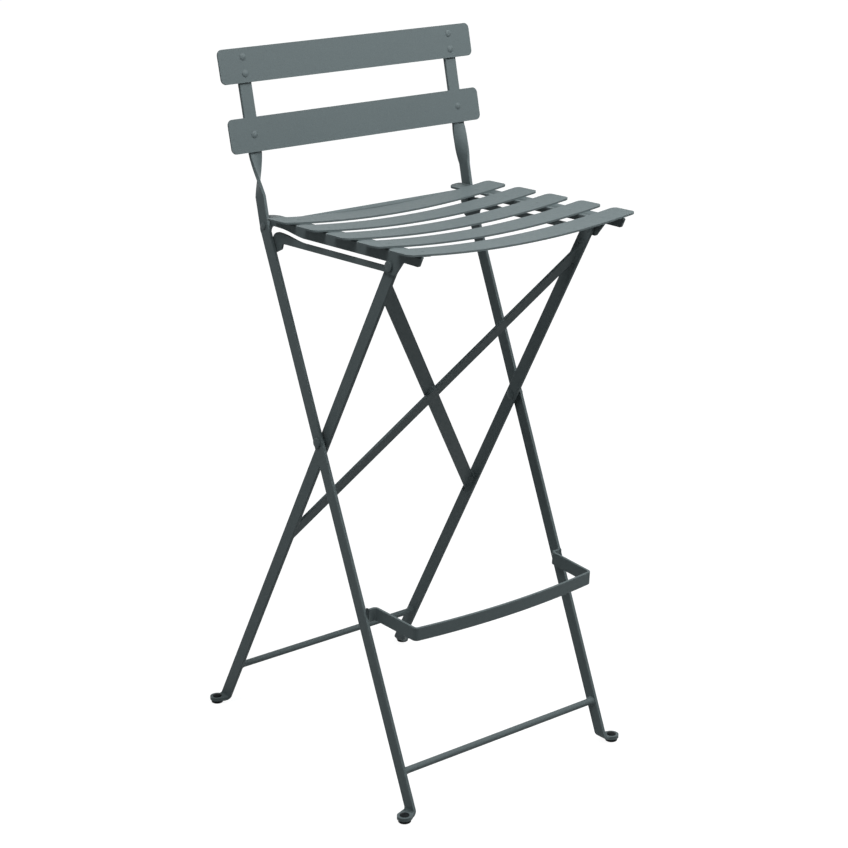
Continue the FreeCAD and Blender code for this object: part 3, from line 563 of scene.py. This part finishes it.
def floor_glow(nodes, links):
    """Glow that grows to full white away from the stool."""
    where = object_coordinates(nodes)
    reach = nodes.new("ShaderNodeVectorMath")
    reach.operation = "LENGTH"
    links.new(where, reach.inputs[0])
    grow = nodes.new("ShaderNodeMapRange")
    grow.interpolation_type = "SMOOTHSTEP"
    grow.inputs["From Min"].default_value = FLOOR_NEAR
    grow.inputs["From Max"].default_value = FLOOR_FAR
    grow.inputs["To Min"].default_value = FLOOR_GLOW_NEAR
    grow.inputs["To Max"].default_value = 1.0
    links.new(reach.outputs["Value"], grow.inputs["Value"])
    seen = nodes.new("ShaderNodeMath")
    seen.operation = "MULTIPLY"
    links.new(grow.outputs["Result"], seen.inputs[0])
    links.new(seen_directly(nodes, links), seen.inputs[1])
    glow = nodes.new("ShaderNodeEmission")
    glow.inputs["Color"].default_value = WHITE
    links.new(seen.outputs[0], glow.inputs["Strength"])
    return glow.outputs["Emission"]


def make_floor():
    """Floor that reads white with a faint shadow, and throws little light back."""
    bpy.ops.mesh.primitive_plane_add(size=FLOOR_SIZE, location=(0.0, 0.0, -FLOOR_DROP))
    floor = bpy.context.object
    floor.name = "floor"
    material, nodes, links, lit = new_material("floor_white")
    lit.inputs["Base Color"].default_value = FLOOR_COLOUR
    lit.inputs["Roughness"].default_value = FLOOR_ROUGHNESS
    lit.inputs["Specular IOR Level"].default_value = 0.0
    both = nodes.new("ShaderNodeAddShader")
    links.new(lit.outputs["BSDF"], both.inputs[0])
    links.new(floor_glow(nodes, links), both.inputs[1])
    output = [node for node in nodes if node.type == "OUTPUT_MATERIAL"][0]
    links.new(both.outputs[0], output.inputs["Surface"])
    floor.data.materials.append(material)


def make_world():
    """White to the camera and in reflections; soft studio light otherwise."""
    world = bpy.data.worlds.new("studio")
    bpy.context.scene.world = world
    world.use_nodes = True
    nodes = world.node_tree.nodes
    links = world.node_tree.links
    nodes.clear()
    output = nodes.new("ShaderNodeOutputWorld")
    light = nodes.new("ShaderNodeBackground")
    light.inputs["Color"].default_value = WORLD_COLOUR
    light.inputs["Strength"].default_value = WORLD_LIGHT
    white = nodes.new("ShaderNodeBackground")
    white.inputs["Color"].default_value = WHITE
    white.inputs["Strength"].default_value = 1.0
    mix = nodes.new("ShaderNodeMixShader")
    links.new(seen_directly(nodes, links), mix.inputs["Fac"])
    links.new(light.outputs[0], mix.inputs[1])
    links.new(white.outputs[0], mix.inputs[2])
    links.new(mix.outputs[0], output.inputs["Surface"])


def make_lamps():
    for name, place, aim, width, power in LAMPS:
        data = bpy.data.lights.new(name, "AREA")
        data.shape = "DISK"
        data.size = width
        data.energy = power
        lamp = link_object(name, data)
        lamp.location = place
        direction = Vector(aim) - Vector(place)
        lamp.rotation_euler = direction.to_track_quat("-Z", "Y").to_euler()


def make_camera():
    azimuth = math.radians(CAMERA_AZIMUTH)
    elevation = math.radians(CAMERA_ELEVATION)
    back = Vector((
        math.sin(azimuth) * math.cos(elevation),
        -math.cos(azimuth) * math.cos(elevation),
        math.sin(elevation),
    ))
    right = Vector((math.cos(azimuth), math.sin(azimuth), 0.0))
    up = back.cross(right)
    turn = Matrix.Rotation(math.radians(CAMERA_ROLL), 3, back)
    axes = Matrix((turn @ right, turn @ up, back)).transposed()
    data = bpy.data.cameras.new("camera")
    data.sensor_width = SENSOR_WIDTH
    data.sensor_fit = "HORIZONTAL"
    data.lens = FOCAL_PIXELS * SENSOR_WIDTH / PHOTO_SIZE
    data.shift_x = (PHOTO_SIZE / 2 - CENTRE_PIXEL_X) / PHOTO_SIZE
    data.shift_y = (CENTRE_PIXEL_Y - PHOTO_SIZE / 2) / PHOTO_SIZE
    data.clip_end = CAMERA_REACH
    camera = link_object("camera", data)
    camera.matrix_world = Matrix.Translation(CAMERA_PLACE) @ axes.to_4x4()
    bpy.context.scene.camera = camera


bpy.context.scene.view_settings.view_transform = "Standard"

paint = powder_coat("powder_coat", PAINT_COLOUR, PAINT_ROUGHNESS)
fastener_paint = powder_coat(
    "powder_coat_rivets", shade(PAINT_COLOUR, RIVET_SHADE), RIVET_ROUGHNESS)
plastic = moulded_plastic("black_plug", PLUG_COLOUR)
dress_nodes(paint, fastener_paint, plastic)
add_side_plates(paint)
add_tie_rod(paint)
add_rod_flares(paint)
add_end_welds(paint)
add_crossing_bead(paint)
add_spacers(fastener_paint)
add_heads(fastener_paint)
make_floor()
make_world()
make_lamps()
make_camera()
